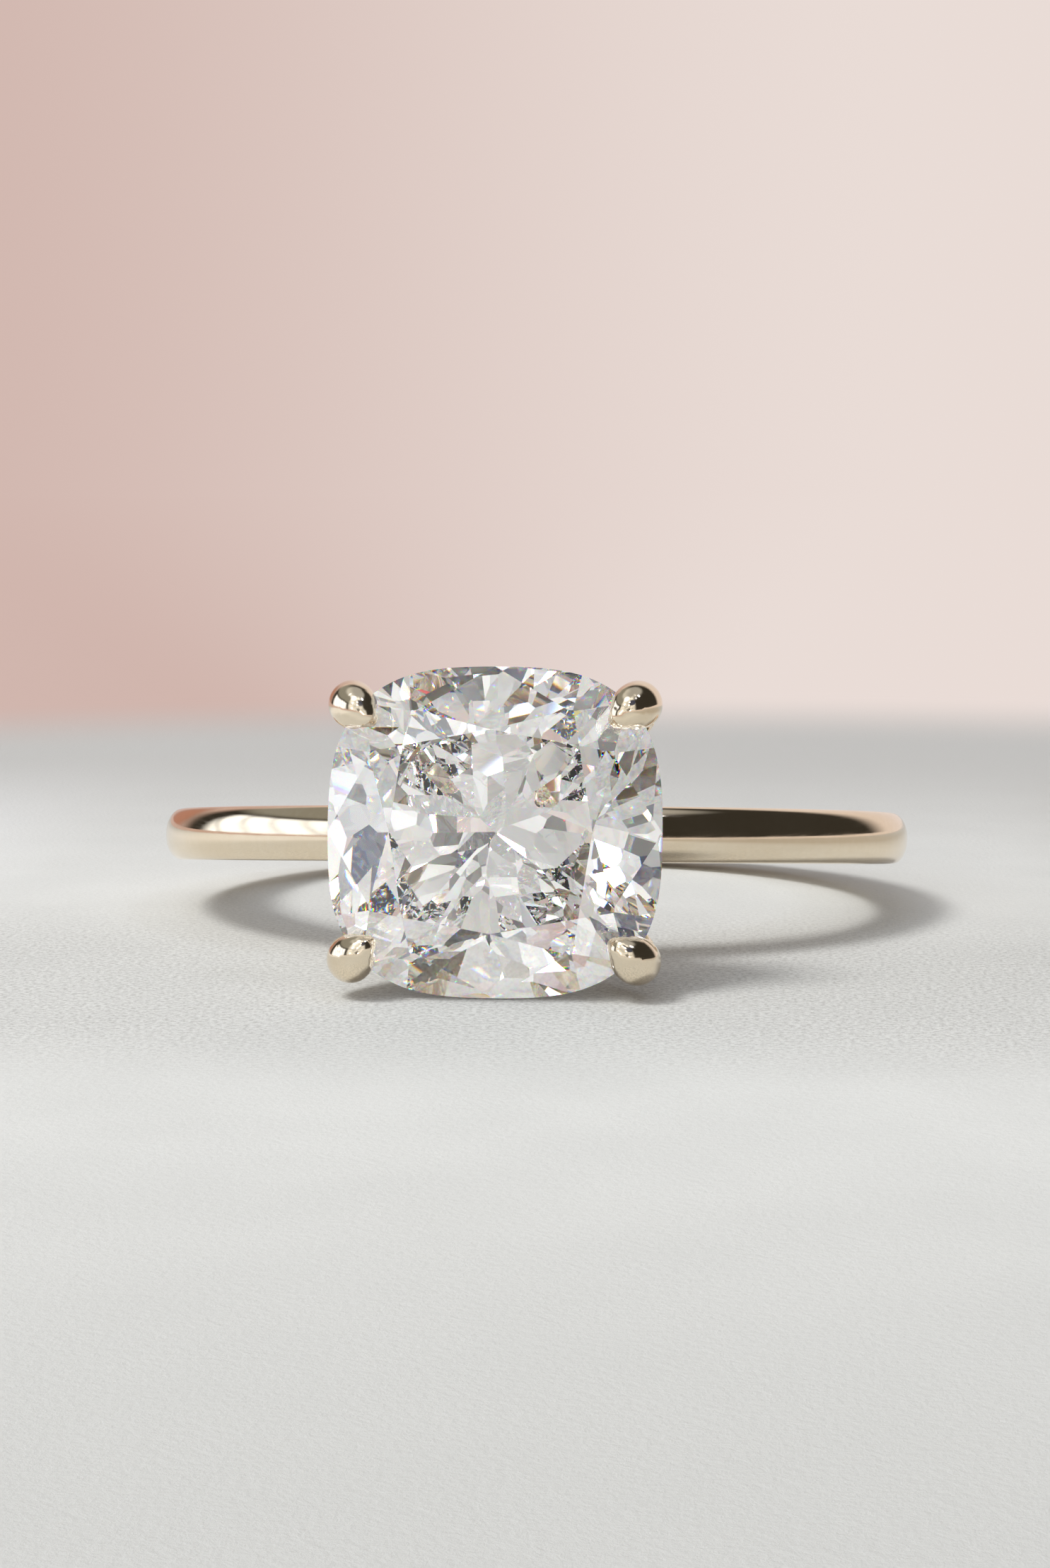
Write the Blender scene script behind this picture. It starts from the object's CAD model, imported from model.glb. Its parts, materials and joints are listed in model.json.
import json
import math
import bpy
import bmesh
from mathutils import Matrix, Vector


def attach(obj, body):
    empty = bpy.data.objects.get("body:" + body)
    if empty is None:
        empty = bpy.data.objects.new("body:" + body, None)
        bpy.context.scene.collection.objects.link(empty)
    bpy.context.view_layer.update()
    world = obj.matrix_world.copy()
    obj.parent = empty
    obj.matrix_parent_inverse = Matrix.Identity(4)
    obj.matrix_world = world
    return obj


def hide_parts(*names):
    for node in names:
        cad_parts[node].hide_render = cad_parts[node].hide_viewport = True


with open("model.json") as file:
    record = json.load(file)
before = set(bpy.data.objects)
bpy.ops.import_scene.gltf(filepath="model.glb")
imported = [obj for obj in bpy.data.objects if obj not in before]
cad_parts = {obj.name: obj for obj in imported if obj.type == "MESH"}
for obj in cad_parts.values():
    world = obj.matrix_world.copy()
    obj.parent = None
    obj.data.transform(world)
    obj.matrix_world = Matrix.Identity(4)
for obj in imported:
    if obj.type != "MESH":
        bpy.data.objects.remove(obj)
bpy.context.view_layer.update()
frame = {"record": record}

MM = 0.001

# ---- the ring's own frame: finger axis along Z, stone facing -Y -----------------------------------
bore = next(m for m in frame["record"]["mounts"] if m["name"] == "finger_bore")
AZ = Vector(bore["axis"]).normalized()
AX = Vector((1, 0, 0))
AY = AZ.cross(AX).normalized()
CENTRE = Vector(bore["pos_m"])
RING = Matrix(((AX.x, AY.x, AZ.x, CENTRE.x), (AX.y, AY.y, AZ.y, CENTRE.y),
               (AX.z, AY.z, AZ.z, CENTRE.z), (0, 0, 0, 1)))
TILT = math.degrees(math.asin(AZ.y))

# dimensions in mm, the same as the CAD's
FINGER_R, OUTER_R, BAND_HALF_W, SEAT_Y = 8.255, 9.90, 0.67, 9.60
GIRDLE_Y, HALF_L, HALF_W, OUTLINE_N = 13.55, 3.725, 3.675, 2.9
CROWN_H, GIRDLE_T, PAVILION_H = 1.05, 0.17, 3.34
TABLE_SIDE, TABLE_CORNER = 2.23, (1.93, 1.88)
CLAW = [(1.50, 9.30, 0.43, 0.40), (1.62, 9.95, 0.62, 0.40), (2.13, 11.10, 1.36, 0.43),
        (2.72, 12.25, 2.18, 0.47), (3.15, 13.25, 2.78, 0.52), (3.14, 13.80, 2.80, 0.53),
        (2.98, 14.08, 2.68, 0.47), (2.82, 14.18, 2.54, 0.33), (2.70, 14.14, 2.45, 0.20),
        (2.64, 14.07, 2.40, 0.10)]
GALLERY = dict(y=11.40, a=2.45, b=2.25, n=2.4, t=0.30, h=0.27)
BASE = dict(y=10.36, a=1.78, b=1.30, n=2.2, t=0.26, h=0.24)


# ---- node helpers ---------------------------------------------------------------------------------
class Nodes:
    def __init__(self, tree):
        self.t = tree

    def new(self, kind, **kw):
        n = self.t.nodes.new(kind)
        for k, v in kw.items():
            setattr(n, k, v)
        return n

    def put(self, socket, value):
        if hasattr(value, "is_output"):
            self.t.links.new(value, socket)
        else:
            socket.default_value = value

    def math(self, op, *args, clamp=False):
        n = self.new("ShaderNodeMath", operation=op, use_clamp=clamp)
        for i, a in enumerate(args):
            self.put(n.inputs[i], a)
        return n.outputs[0]

    def vmath(self, op, *args):
        n = self.new("ShaderNodeVectorMath", operation=op)
        for i, a in enumerate(args):
            self.put(n.inputs[i], a)
        return n.outputs["Value"] if op in ("DOT_PRODUCT", "LENGTH") else n.outputs["Vector"]

    def smooth(self, value, lo, hi, a=0.0, b=1.0):
        n = self.new("ShaderNodeMapRange", interpolation_type="SMOOTHSTEP", clamp=True)
        for s, v in zip(("Value", "From Min", "From Max", "To Min", "To Max"), (value, lo, hi, a, b)):
            self.put(n.inputs[s], v)
        return n.outputs["Result"]

    def noise(self, vector, scale, detail=2.0, rough=0.5, distort=0.0):
        n = self.new("ShaderNodeTexNoise")
        self.put(n.inputs["Vector"], vector)
        n.inputs["Scale"].default_value = scale
        n.inputs["Detail"].default_value = detail
        n.inputs["Roughness"].default_value = rough
        n.inputs["Distortion"].default_value = distort
        return n.outputs["Fac"]

    def mix(self, fac, a, b):
        n = self.new("ShaderNodeMix", data_type="RGBA")
        self.put(n.inputs[0], fac)
        self.put(n.inputs[6], a)
        self.put(n.inputs[7], b)
        return n.outputs[2]

    def bump(self, height, strength, distance, normal=None):
        n = self.new("ShaderNodeBump")
        n.inputs["Strength"].default_value = strength
        n.inputs["Distance"].default_value = distance
        self.put(n.inputs["Height"], height)
        if normal is not None:
            self.put(n.inputs["Normal"], normal)
        return n.outputs["Normal"]


def material(name):
    m = bpy.data.materials.new(name)
    m.use_nodes = True
    k = Nodes(m.node_tree)
    return m, k, next(n for n in m.node_tree.nodes if n.type == "BSDF_PRINCIPLED")


def gold_material():
    m, k, p = material("gold_polished")
    co = k.new("ShaderNodeTexCoord").outputs["Object"]
    # soft unevenness of a hand-polished surface, then fine polishing lines
    broad = k.noise(co, 420.0, 2.0, 0.45)
    fine = k.noise(co, 5200.0, 3.0, 0.6)
    st = k.new("ShaderNodeMapping")
    k.put(st.inputs["Vector"], co)
    st.inputs["Scale"].default_value = (900.0, 900.0, 16000.0)
    lines = k.noise(st.outputs["Vector"], 1.0, 2.0, 0.6)
    tone = k.math("ADD", k.math("MULTIPLY", broad, 0.65), k.math("MULTIPLY", fine, 0.35))
    k.put(p.inputs["Base Color"], k.mix(k.smooth(tone, 0.30, 0.70), (0.85, 0.725, 0.545, 1), (0.91, 0.80, 0.635, 1)))
    p.inputs["Metallic"].default_value = 1.0
    rough = k.math("ADD", k.smooth(lines, 0.35, 0.75, 0.0, 0.07), k.smooth(broad, 0.3, 0.7, 0.05, 0.10))
    k.put(p.inputs["Roughness"], rough)
    n1 = k.bump(broad, 0.25, 0.000016)
    n2 = k.bump(lines, 0.08, 0.0000016, n1)
    k.put(p.inputs["Normal"], n2)
    return m


def diamond_material():
    """Diamond. The first refraction into the stone bends red, green and blue a little differently, which
    is where its fire comes from; inside, every ray meets plain diamond."""
    g = bpy.data.node_groups.new("diamond_optics", "ShaderNodeTree")
    g.interface.new_socket("Surface", in_out="OUTPUT", socket_type="NodeSocketShader")
    k = Nodes(g)
    out = k.new("NodeGroupOutput")
    p = k.new("ShaderNodeBsdfPrincipled")
    co = k.new("ShaderNodeTexCoord").outputs["Object"]
    veil = k.noise(co, 700.0, 3.0, 0.55)
    k.put(p.inputs["Base Color"], k.mix(k.smooth(veil, 0.35, 0.70), (1.0, 0.995, 0.985, 1), (0.985, 0.985, 0.995, 1)))
    p.inputs["Roughness"].default_value = 0.0
    p.inputs["Transmission Weight"].default_value = 1.0
    p.inputs["IOR"].default_value = 2.417
    parts = []
    for color, ior in (((1, 0, 0, 1), 2.411), ((0, 1, 0, 1), 2.418), ((0, 0, 1, 1), 2.429)):
        r = k.new("ShaderNodeBsdfRefraction")
        r.inputs["Color"].default_value = color
        r.inputs["Roughness"].default_value = 0.0
        r.inputs["IOR"].default_value = ior
        parts.append(r.outputs[0])

    def both(x, y):
        n = k.new("ShaderNodeAddShader")
        k.t.links.new(x, n.inputs[0])
        k.t.links.new(y, n.inputs[1])
        return n.outputs[0]

    def blend(fac, x, y):
        n = k.new("ShaderNodeMixShader")
        k.put(n.inputs[0], fac)
        k.t.links.new(x, n.inputs[1])
        k.t.links.new(y, n.inputs[2])
        return n.outputs[0]

    fres = k.new("ShaderNodeFresnel")
    fres.inputs["IOR"].default_value = 2.417
    mirror = k.new("ShaderNodeBsdfAnisotropic")
    mirror.inputs["Roughness"].default_value = 0.0
    first = blend(fres.outputs[0], both(both(parts[0], parts[1]), parts[2]), mirror.outputs[0])
    k.t.links.new(blend(k.new("ShaderNodeLightPath").outputs["Is Camera Ray"], p.outputs[0], first), out.inputs[0])

    m = bpy.data.materials.new("diamond_cut")
    m.use_nodes = True
    t = m.node_tree
    t.nodes.clear()
    use = t.nodes.new("ShaderNodeGroup")
    use.node_tree = g
    t.links.new(use.outputs[0], t.nodes.new("ShaderNodeOutputMaterial").inputs[0])
    return m


def velvet_material():
    m, k, p = material("floor_velvet")
    co = k.new("ShaderNodeTexCoord").outputs["Object"]
    pile = k.noise(co, 6500.0, 4.0, 0.7)
    nap = k.noise(co, 260.0, 3.0, 0.5)
    away = k.vmath("LENGTH", co)
    tone = k.math("ADD", k.math("MULTIPLY", pile, 0.5), k.math("MULTIPLY", nap, 0.5))
    near = k.mix(k.smooth(tone, 0.35, 0.65), (0.70, 0.708, 0.693, 1), (0.745, 0.753, 0.737, 1))
    part = k.new("ShaderNodeSeparateXYZ")
    k.put(part.inputs[0], co)
    dim = k.smooth(part.outputs["Y"], 0.004, 0.045)
    grain = k.noise(co, 8200.0, 3.0, 0.75)
    here = k.math("MULTIPLY", k.smooth(part.outputs["Y"], -0.022, -0.014), k.smooth(part.outputs["Y"], -0.006, 0.006, 1.0, 0.0))
    speck = k.math("MULTIPLY", k.smooth(grain, 0.30, 0.62, 1.0, 0.0), k.math("MULTIPLY", here, 0.95))
    near = k.mix(speck, near, (0.44, 0.44, 0.425, 1))
    near = k.mix(k.smooth(part.outputs["X"], 0.013, 0.024, 0.0, 0.80), near, (0.46, 0.41, 0.345, 1))
    near = k.mix(k.smooth(part.outputs["X"], -0.024, -0.014, 0.90, 0.0), near, (0.90, 0.91, 0.92, 1))
    near = k.mix(k.smooth(part.outputs["Y"], -0.046, -0.018, 0.75, 0.0), near, (0.56, 0.566, 0.552, 1))
    k.put(p.inputs["Base Color"], k.mix(dim, near, (0.55, 0.548, 0.535, 1)))
    p.inputs["Roughness"].default_value = 0.95
    p.inputs["Sheen Weight"].default_value = 0.2
    p.inputs["Sheen Roughness"].default_value = 0.5
    p.inputs["Specular IOR Level"].default_value = 0.1
    k.put(p.inputs["Normal"], k.bump(pile, 0.30, 0.00010))
    far = k.new("ShaderNodeEmission")
    side = k.math("DIVIDE", part.outputs["X"], away)
    k.put(far.inputs["Color"], k.mix(k.smooth(side, -0.31, 0.07), (0.635, 0.466, 0.420, 1), (0.815, 0.716, 0.675, 1)))
    mixer = k.new("ShaderNodeMixShader")
    k.put(mixer.inputs[0], k.smooth(away, 0.052, 0.080))
    k.t.links.new(p.outputs[0], mixer.inputs[1])
    k.t.links.new(far.outputs[0], mixer.inputs[2])
    surface = next(n for n in m.node_tree.nodes if n.type == "OUTPUT_MATERIAL")
    k.t.links.new(mixer.outputs[0], surface.inputs[0])
    return m


# ---- mesh helpers ---------------------------------------------------------------------------------
def to_object(name, bm, mat, smooth=True, sharp=35):
    bmesh.ops.transform(bm, matrix=RING @ Matrix.Scale(MM, 4), verts=bm.verts)
    bmesh.ops.recalc_face_normals(bm, faces=bm.faces)
    me = bpy.data.meshes.new(name)
    bm.to_mesh(me)
    bm.free()
    me.polygons.foreach_set("use_smooth", [smooth] * len(me.polygons))
    if smooth:
        me.set_sharp_from_angle(angle=math.radians(sharp))
    me.materials.append(mat)
    ob = bpy.data.objects.new(name, me)
    bpy.context.scene.collection.objects.link(ob)
    return ob


def grid(bm, rows, closed_u=True, closed_v=True):
    """rows of points in mm, joined into quads."""
    vs = [[bm.verts.new(p) for p in r] for r in rows]
    n, m = len(vs), len(vs[0])
    for i in range(n if closed_u else n - 1):
        for j in range(m if closed_v else m - 1):
            bm.faces.new((vs[i][j], vs[(i + 1) % n][j], vs[(i + 1) % n][(j + 1) % m], vs[i][(j + 1) % m]))
    return vs


# ---- stone: every facet is one plane --------------------------------------------------------------
def rim(th):
    c, s = math.cos(th), math.sin(th)
    r = (abs(c / HALF_L) ** OUTLINE_N + abs(s / HALF_W) ** OUTLINE_N) ** (-1 / OUTLINE_N)
    return Vector((r * c, r * s, 0))


def reach(phi):
    q = OUTLINE_N / (OUTLINE_N - 1)
    return (abs(HALF_L * math.cos(phi)) ** q + abs(HALF_W * math.sin(phi)) ** q) ** (1 / q)


def facets(steps):
    out = []

    def plane(n, p):
        out.append((n, n.dot(p)))

    def lean(phi, beta, p, up):
        plane(Vector((math.sin(beta) * math.cos(phi), math.sin(beta) * math.sin(phi), up * math.cos(beta))), p)

    def thru(p, q, r):
        n = (q - p).cross(r - p).normalized()
        plane(-n if n.z < 0 else n, p)

    for k in range(steps):
        p, q = rim(2 * math.pi * k / steps), rim(2 * math.pi * (k + 1) / steps)
        plane(Vector((q.y - p.y, p.x - q.x, 0)).normalized(), p)
    plane(Vector((0, 0, 1)), Vector((0, 0, CROWN_H)))
    al, aw = math.atan(CROWN_H / (HALF_L - TABLE_SIDE)), math.atan(CROWN_H / (HALF_W - TABLE_SIDE))
    rt, pc = math.hypot(*TABLE_CORNER), math.atan2(TABLE_CORNER[1], TABLE_CORNER[0])
    ac = math.atan(CROWN_H / (rim(pc).length - rt))
    nl, nw = Vector((math.sin(al), 0, math.cos(al))), Vector((0, math.sin(aw), math.cos(aw)))
    nc = Vector((math.sin(ac) * math.cos(pc), math.sin(ac) * math.sin(pc), math.cos(ac)))
    dl, dw = nl.dot(Vector((TABLE_SIDE, 0, CROWN_H))), nw.dot(Vector((0, TABLE_SIDE, CROWN_H)))
    dc = nc.dot(Vector((*TABLE_CORNER, CROWN_H)))

    def meet(n1, d1, n2, d2, n3, d3):
        return Matrix((n1, n2, n3)).inverted() @ Vector((d1, d2, d3))

    tip_w = meet(nw, dw, nc, dc, Vector((0, 1, 0)), HALF_W * 0.735)
    tip_l = meet(nl, dl, nc, dc, Vector((1, 0, 0)), HALF_L * 0.735)
    lift = Vector((0, 0, 0.015))
    for sx in (1, -1):
        plane(Vector((sx * nl.x, 0, nl.z)), Vector((sx * TABLE_SIDE, 0, CROWN_H)))
        plane(Vector((0, sx * nw.y, nw.z)), Vector((0, sx * TABLE_SIDE, CROWN_H)))
        for sy in (1, -1):
            def S(v, sx=sx, sy=sy):
                return Vector((v.x * sx, v.y * sy, v.z))
            tw, tl = S(tip_w), S(tip_l)
            corner = Vector((sx * TABLE_CORNER[0], sy * TABLE_CORNER[1], CROWN_H))
            plane(S(nc), corner)
            thru(Vector((0, sy * TABLE_SIDE, CROWN_H)), corner, tw)
            thru(Vector((sx * TABLE_SIDE, 0, CROWN_H)), corner, tl)
            gw, gl, gc = S(rim(math.radians(61))), S(rim(math.radians(28))), S(rim(pc))
            thru(tw - lift, Vector((0, sy * HALF_W, 0)), gw)
            thru(tw - lift, gc, gw)
            thru(tl - lift, Vector((sx * HALF_L, 0, 0)), gl)
            thru(tl - lift, gc, gl)
    culet = -GIRDLE_T - PAVILION_H
    rad = math.radians
    for k in range(16):
        phi = rad(11.25 + 22.5 * k)
        h = reach(phi)
        lean(phi, rad(55), Vector((h * math.cos(phi), h * math.sin(phi), -GIRDLE_T)), -1)
        split = phi + rad(-2.5 if k % 2 else 2.5)
        lean(split, rad(38.6 + 3.0 * abs(math.cos(2 * split))), Vector((0, 0, culet - 0.10)), -1)
    for k in range(8):
        phi = rad(45 * k)
        r = reach(phi) - 0.36 / math.tan(rad(55))
        lean(phi, rad(45 if k % 2 else 47), Vector((r * math.cos(phi), r * math.sin(phi), -GIRDLE_T - 0.36)), -1)
        lean(rad(22.5 + 45 * k), rad(37), Vector((0, 0, culet)), -1)
    return out


def wobble(i):
    """A fixed small unevenness for facet i, between -1 and 1."""
    v = math.sin(i * 12.9898 + 4.137) * 43758.5453
    return 2 * (v - math.floor(v)) - 1


def broken_ice():
    """Extra pavilion facets. Each cuts a little under the plain pavilion's own surface at one point."""
    pavilion = [(n, d) for n, d in facets(8) if n.z < -0.05]
    out, i = [], 3000
    for count, turn, beta, r, cut in ((30, 7.5, 51.5, 3.42, 0.030), (27, 4.0, 46.0, 2.98, 0.045),
                                      (28, 0.0, 43.6, 2.55, 0.055), (26, 9.0, 41.6, 2.10, 0.055),
                                      (23, 5.0, 40.2, 1.68, 0.050), (20, 11.0, 39.2, 1.26, 0.045),
                                      (16, 3.0, 38.2, 0.86, 0.040), (11, 8.0, 36.8, 0.48, 0.030),
                                      (6, 20.0, 35.0, 0.20, 0.015)):
        for k in range(count):
            i += 1
            turn_by = 1.5 if r > 3.2 else 4.0
            phi = math.radians(turn + 360 * k / count + 6.0 * wobble(i))
            b = math.radians(beta + turn_by * wobble(i + 500))
            f = reach(phi) / 3.70
            x, y = r * f * math.cos(phi), r * f * math.sin(phi)
            z = max((d - n.x * x - n.y * y) / n.z for n, d in pavilion)
            n = Vector((math.sin(b) * math.cos(phi), math.sin(b) * math.sin(phi), -math.cos(b)))
            hold = math.sin(b) * reach(phi) + 0.09 * math.cos(b)   # so that no facet reaches past the middle of the girdle
            out.append((n, max(hold, n.dot(Vector((x, y, z + cut * (1.25 + 0.5 * wobble(i + 900))))))))
    return out


def stone_mesh(steps, grow=0.0, extra=()):
    bm = bmesh.new()
    bmesh.ops.create_cube(bm, size=40.0)
    for n, d in facets(steps) + list(extra):
        got = bmesh.ops.bisect_plane(bm, geom=bm.verts[:] + bm.edges[:] + bm.faces[:], dist=1e-6,
                                     plane_co=n * (d + grow), plane_no=n, clear_outer=True)
        rim_edges = [e for e in got["geom_cut"] if isinstance(e, bmesh.types.BMEdge) and e.is_boundary]
        if len(rim_edges) > 2:
            bmesh.ops.contextual_create(bm, geom=rim_edges)
    bmesh.ops.remove_doubles(bm, verts=bm.verts, dist=2e-3)
    for v in bm.verts:
        v.co = Vector((v.co.x, -GIRDLE_Y - v.co.z, v.co.y))
    bmesh.ops.recalc_face_normals(bm, faces=bm.faces)
    return bm


# ---- metal pieces ---------------------------------------------------------------------------------
def shank_mesh():
    def arc(n, count, r0, depth):
        pts = []
        for i in range(count + 1):
            t = -math.pi / 2 + math.pi * i / count
            c, s = math.cos(t), math.sin(t)
            pts.append((r0 + depth * abs(c) ** (2 / n), BAND_HALF_W * math.copysign(abs(s) ** (2 / n), s)))
        return pts
    outer = arc(2.1, 30, OUTER_R - 0.42, 0.42)
    inner = [(r, z) for r, z in reversed(arc(2.6, 24, FINGER_R + 0.28, -0.28))]
    flat = [(OUTER_R - 0.42 - i * (OUTER_R - 0.70 - FINGER_R) / 5, BAND_HALF_W) for i in range(1, 5)]
    section = outer + flat + inner + [(r, -z) for r, z in reversed(flat)]
    bm = bmesh.new()
    rows = []
    for i in range(320):
        a = 2 * math.pi * i / 320
        rows.append([Vector((r * math.cos(a), max(r * math.sin(a), -SEAT_Y), z)) for r, z in section])
    grid(bm, rows)
    return bm


def spline(points, u):
    n = len(points) - 1
    k = min(n - 1, int(u * n))
    f = u * n - k
    p1, p2 = points[k], points[k + 1]
    p0 = points[k - 1] if k else p1 * 2 - p2
    p3 = points[k + 2] if k + 2 <= n else p2 * 2 - p1
    return 0.5 * ((2 * p1) + (p2 - p0) * f + (2 * p0 - 5 * p1 + 4 * p2 - p3) * f * f
                  + (3 * p1 - p0 - 3 * p2 + p3) * f ** 3)


def claw_mesh(sx, sz):
    pts = [Vector((x, -y, z)) for x, y, z, _ in CLAW]
    rad = [Vector((r, 0, 0)) for _, _, _, r in CLAW]
    side = Vector((-CLAW[4][2], 0, CLAW[4][0])).normalized()
    steps, sides = 112, 40
    bm = bmesh.new()
    rows = []
    for i in range(steps + 1):
        u = i / steps
        c, r = spline(pts, u), spline(rad, u).x
        T = (spline(pts, min(1, u + 0.002)) - spline(pts, max(0, u - 0.002))).normalized()
        N = (side - T * T.dot(side)).normalized()
        B = N.cross(T)
        foot = 0.10 * math.exp(-((c.y + SEAT_Y) / 0.16) ** 2)   # solder fillet on the hoop
        r += foot
        rows.append([c + N * (r * math.cos(2 * math.pi * j / sides)) + B * (r * math.sin(2 * math.pi * j / sides))
                     for j in range(sides)])
    vs = grid(bm, rows, closed_u=False)
    T = (pts[-1] - pts[-2]).normalized()
    tip = bm.verts.new(pts[-1] + T * 0.07)
    for j in range(sides):
        bm.faces.new((vs[-1][j], tip, vs[-1][(j + 1) % sides]))
    bm.faces.new(list(reversed(vs[0])))
    bmesh.ops.recalc_face_normals(bm, faces=bm.faces)
    got = bmesh.ops.bisect_plane(bm, geom=bm.verts[:] + bm.edges[:] + bm.faces[:], dist=1e-6,
                                 plane_co=(0, -SEAT_Y + 0.03, 0), plane_no=(0, 1, 0), clear_outer=True)
    bmesh.ops.contextual_create(bm, geom=[e for e in got["geom_cut"] if isinstance(e, bmesh.types.BMEdge)])
    bmesh.ops.scale(bm, vec=(sx, 1, sz), verts=bm.verts)
    bmesh.ops.recalc_face_normals(bm, faces=bm.faces)
    return bm


def rail_mesh(y, a, b, n, t, h):
    def on(th):
        c, s = math.cos(th), math.sin(th)
        r = (abs(c / a) ** n + abs(s / b) ** n) ** (-1 / n)
        return r * c, r * s
    bm = bmesh.new()
    rows = []
    for i in range(200):
        th = 2 * math.pi * i / 200
        (x, z), (x0, z0), (x1, z1) = on(th), on(th - 0.01), on(th + 0.01)
        ln = math.hypot(x1 - x0, z1 - z0)
        nx, nz = (z1 - z0) / ln, -(x1 - x0) / ln
        row = []
        for j in range(28):
            w = 2 * math.pi * j / 28
            c, s = math.cos(w), math.sin(w)
            o, d = t * math.copysign(abs(c) ** 0.82, c), h * math.copysign(abs(s) ** 0.82, s)
            row.append(Vector((x + nx * o, -y - d, z + nz * o)))
        rows.append(row)
    grid(bm, rows)
    return bm


# ---- build ----------------------------------------------------------------------------------------
gold, diamond = gold_material(), diamond_material()


def keep(ob, node):
    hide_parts(node)
    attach(ob, "root")


keep(to_object("shank_polished", shank_mesh(), gold), "shank")
keep(to_object("gallery_rail_polished", rail_mesh(**GALLERY), gold), "gallery_rail")
keep(to_object("base_rail_polished", rail_mesh(**BASE), gold), "base_rail")
keep(to_object("cushion_stone", stone_mesh(144, extra=broken_ice()), diamond, smooth=False), "centre_stone")

cutter = to_object("notch_cutter", stone_mesh(96, 0.006), gold, smooth=False)
for node, sx, sz in (("claw_upper_left", -1, 1), ("claw_upper_right", 1, 1),
                     ("claw_lower_left", -1, -1), ("claw_lower_right", 1, -1)):
    ob = to_object(node + "_wire", claw_mesh(sx, sz), gold)
    mod = ob.modifiers.new("notch", "BOOLEAN")
    mod.operation, mod.solver, mod.object = "DIFFERENCE", "EXACT", cutter
    dg = bpy.context.evaluated_depsgraph_get()
    me = bpy.data.meshes.new_from_object(ob.evaluated_get(dg))
    ob.modifiers.clear()
    ob.data = me
    me.polygons.foreach_set("use_smooth", [True] * len(me.polygons))
    me.set_sharp_from_angle(angle=math.radians(35))
    keep(ob, node)
bpy.data.objects.remove(cutter, do_unlink=True)

# ---- stage ----------------------------------------------------------------------------------------
fb = bmesh.new()
bmesh.ops.create_grid(fb, x_segments=24, y_segments=24, size=3.0)
fm = bpy.data.meshes.new("floor")
fb.to_mesh(fm)
fb.free()
fm.materials.append(velvet_material())
floor = bpy.data.objects.new("floor", fm)
bpy.context.scene.collection.objects.link(floor)

# ---- camera ---------------------------------------------------------------------------------------
W, H = 1485, 2217
DIST, AZIM, ELEV, ROLL = 0.076, 4.0, 7.1, 0.2
f_px = 524.0 * math.sqrt(DIST ** 2 - 0.0099 ** 2) / 0.0099
az, el = math.radians(AZIM), math.radians(ELEV)
toward = Vector((math.sin(az) * math.cos(el), -math.cos(az) * math.cos(el), math.sin(el)))
eye = CENTRE + toward * DIST
fwd = -toward
right = fwd.cross(Vector((0, 0, 1))).normalized()
up = right.cross(fwd)
aim = CENTRE - right * (DIST * (758.6 - W / 2) / f_px) + up * (DIST * (1183.0 - H / 2) / f_px)
fwd = (aim - eye).normalized()
right = fwd.cross(Vector((0, 0, 1))).normalized()
up = right.cross(fwd)
cam_data = bpy.data.cameras.new("camera")
cam_data.sensor_fit = "VERTICAL"
cam_data.sensor_height = 36.0
cam_data.lens = f_px / H * 36.0
cam_data.clip_start, cam_data.clip_end = 0.002, 20.0
cam = bpy.data.objects.new("camera", cam_data)
m = Matrix((right, up, -fwd)).transposed().to_4x4()
m = m @ Matrix.Rotation(math.radians(-ROLL), 4, "Z")
m.translation = eye
cam.matrix_world = m
bpy.context.scene.collection.objects.link(cam)
bpy.context.scene.camera = cam


# ---- light ----------------------------------------------------------------------------------------
def softbox(name, place, target, size, size_y, radiance, color):
    d = bpy.data.lights.new(name, "AREA")
    d.shape, d.size, d.size_y = "RECTANGLE", size, size_y
    d.energy = radiance * math.pi * size * size_y
    d.color = color
    o = bpy.data.objects.new(name, d)
    o.location = place
    o.rotation_euler = (Vector(target) - Vector(place)).to_track_quat("-Z", "Y").to_euler()
    bpy.context.scene.collection.objects.link(o)
    return o


T = tuple(CENTRE)
key = softbox("key", (-0.158, -0.140, 0.310), T, 0.112, 0.096, 25.0, (1.0, 0.99, 0.97))
key.visible_glossy = False

world = bpy.data.worlds.new("studio")
world.use_nodes = True
bpy.context.scene.world = world
k = Nodes(world.node_tree)
k.t.nodes.clear()
d = k.vmath("NORMALIZE", k.new("ShaderNodeTexCoord").outputs["Generated"])
sep = k.new("ShaderNodeSeparateXYZ")
k.put(sep.inputs[0], d)
dx, dy, dz = sep.outputs
# azimuth in degrees, 0 towards -Y and growing to the right; elevation in degrees
azi = k.math("MULTIPLY", k.math("ARCTAN2", dx, k.math("MULTIPLY", dy, -1.0)), 180 / math.pi)
ele = k.math("MULTIPLY", k.math("ARCSINE", dz), 180 / math.pi)


def band(value, lo, hi, soft):
    return k.math("MULTIPLY", k.smooth(value, lo - soft, lo + soft), k.smooth(value, hi - soft, hi + soft, 1.0, 0.0))


def tint(mask, color):
    n = k.new("ShaderNodeVectorMath", operation="SCALE")
    n.inputs[0].default_value = color
    k.put(n.inputs["Scale"], mask)
    return n.outputs["Vector"]


def lobe(direction, inner, outer, color):
    c = k.vmath("DOT_PRODUCT", d, tuple(Vector(direction).normalized()))
    return tint(k.smooth(c, math.cos(math.radians(outer)), math.cos(math.radians(inner))), color)


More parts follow.
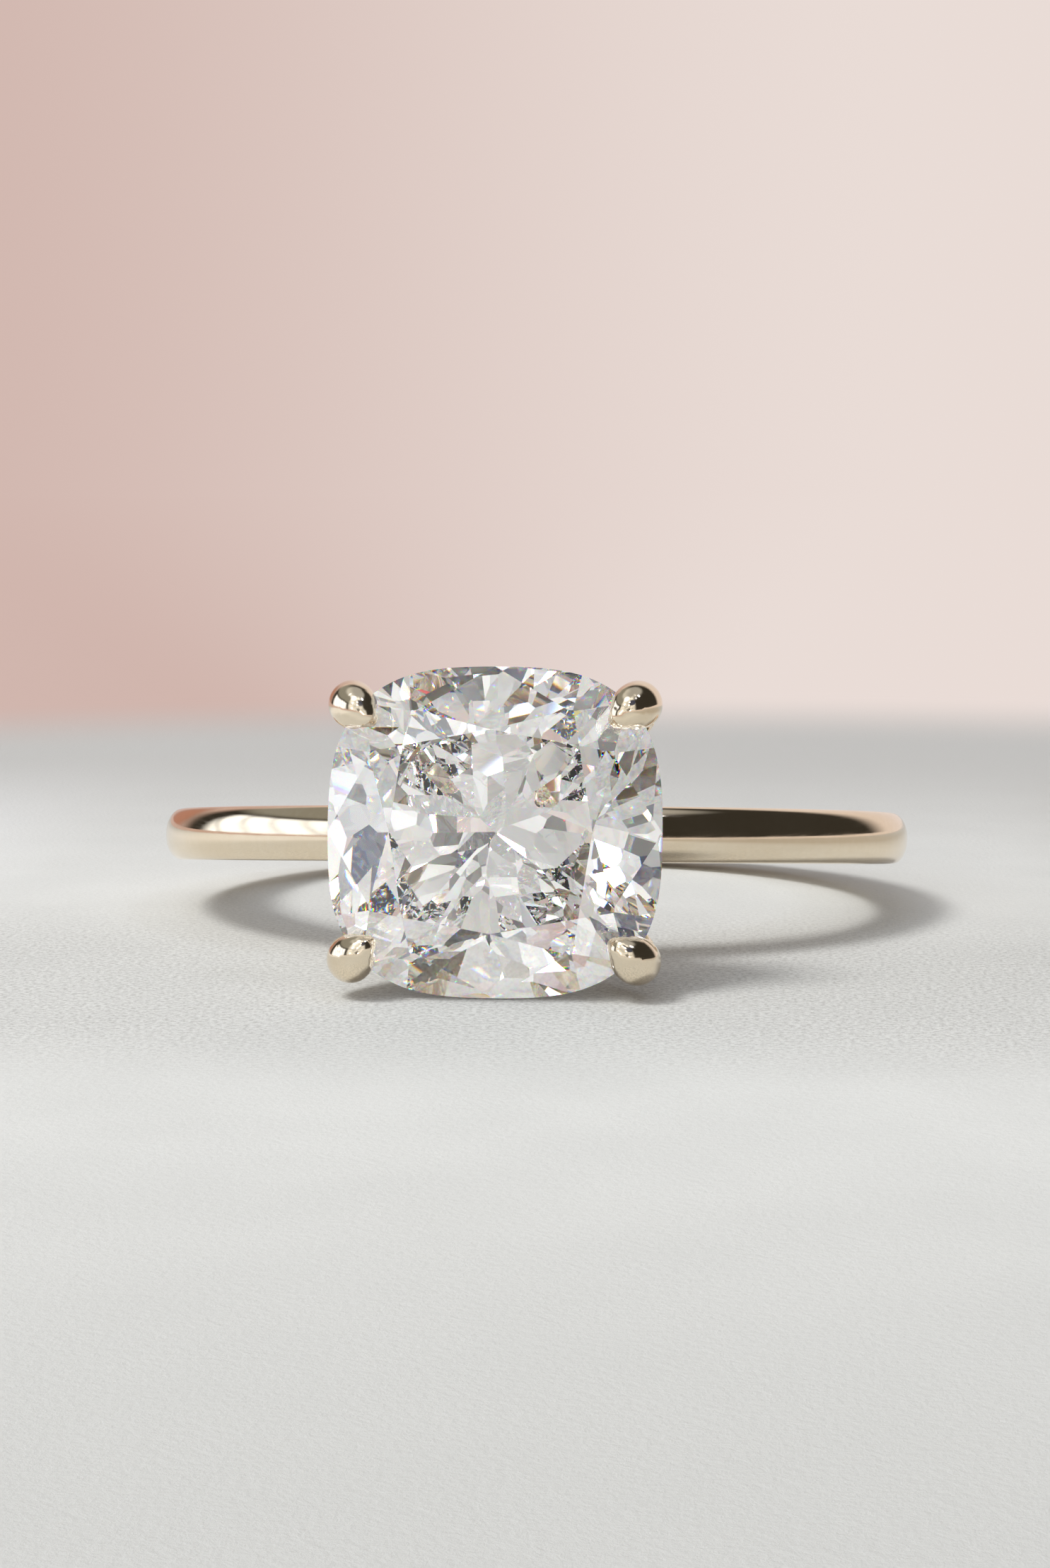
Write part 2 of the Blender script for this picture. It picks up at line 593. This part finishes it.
door = tuple(Vector((0.27, -0.70, 0.66)).normalized())
layers = [
    # the dim room that everything else is added to
    tint(k.smooth(ele, -90, -80, 1.0, 1.0), (0.040, 0.036, 0.030)),
    # pale rose wall behind the ring
    tint(k.math("MULTIPLY", k.smooth(dy, 0.58, 0.80),
                k.smooth(k.vmath("DOT_PRODUCT", d, tuple(Vector((-0.52, 0.85, 0.13)).normalized())),
                         math.cos(math.radians(15)), math.cos(math.radians(6)), 1.0, 0.25)), (0.595, 0.430, 0.390)),
    tint(k.math("MULTIPLY", k.smooth(dy, 0.58, 0.80), k.smooth(dx, -0.31, 0.07)), (0.180, 0.250, 0.255)),
    # ceiling: lighter over the window side than over the room side
    tint(k.math("MULTIPLY", k.smooth(ele, 28, 36), k.smooth(dx, -0.05, -0.40)), (0.25, 0.25, 0.225)),
    # soft panel overhead
    tint(k.smooth(ele, 54, 66), (0.40, 0.405, 0.41)),
    # tall window on the left
    tint(k.math("MULTIPLY", k.math("MULTIPLY", band(azi, -117, -60, 5), band(ele, -12, 27, 3)),
                k.smooth(k.math("SINE", k.math("ADD", k.math("MULTIPLY", azi, 0.42), k.math("MULTIPLY", ele, 0.22))),
                         -1.0, -0.4, 0.62, 1.0)), (1.52, 1.60, 1.74)),
    # warm wall on the camera's side, and the dark shape of whoever holds the camera
    tint(k.math("MULTIPLY", k.math("MULTIPLY", band(azi, -46, 36, 6), band(ele, -20, 70, 8)),
                k.math("MULTIPLY", k.math("MULTIPLY",
                    k.smooth(k.vmath("DOT_PRODUCT", d, (0.06, -0.99, 0.12)), math.cos(math.radians(11)),
                             math.cos(math.radians(6)), 1.0, 0.22),
                    k.smooth(k.vmath("DOT_PRODUCT", d, door), math.cos(math.radians(17)), math.cos(math.radians(12)), 1.0, 0.05)),
                    k.smooth(k.noise(d, 6.5, 1.0, 0.5), 0.38, 0.62, 0.64, 1.12))), (0.95, 0.95, 0.93)),
    tint(k.smooth(k.vmath("DOT_PRODUCT", d, door), math.cos(math.radians(16)), math.cos(math.radians(12))), (0.0, 0.012, 0.065)),
]
for spec in (((-0.22, -0.40, 0.89), 8, 15, (1.15, 1.22, 1.34)),
             ((-0.36, -0.72, 0.59), 2.5, 4, (6.0, 6.3, 7.2)),
             ((0.02, -0.86, 0.51), 1.5, 3, (9.0, 8.6, 8.0)),
             ((0.44, -0.30, 0.85), 4, 6, (6.6, 6.9, 8.0)),
             ((-0.48, -0.86, 0.16), 2, 3.5, (7.0, 6.6, 6.0)),
             ((0.05, -0.70, 0.72), 2, 3.5, (7.0, 7.0, 7.2)),
             ((0.22, -0.97, 0.03), 2, 4, (6.0, 5.2, 4.6)),
             ((-0.52, 0.85, 0.13), 5, 14, (0.30, 0.10, 0.05))):
    layers.append(lobe(*spec))
total = layers[0]
for one in layers[1:]:
    total = k.vmath("ADD", total, one)
bg = k.new("ShaderNodeBackground")
k.put(bg.inputs["Color"], total)
out = k.new("ShaderNodeOutputWorld")
k.t.links.new(bg.outputs[0], out.inputs[0])

scene = bpy.context.scene
scene.view_settings.view_transform = "Standard"
scene.cycles.max_bounces = 32
scene.cycles.glossy_bounces = 24
scene.cycles.transmission_bounces = 32
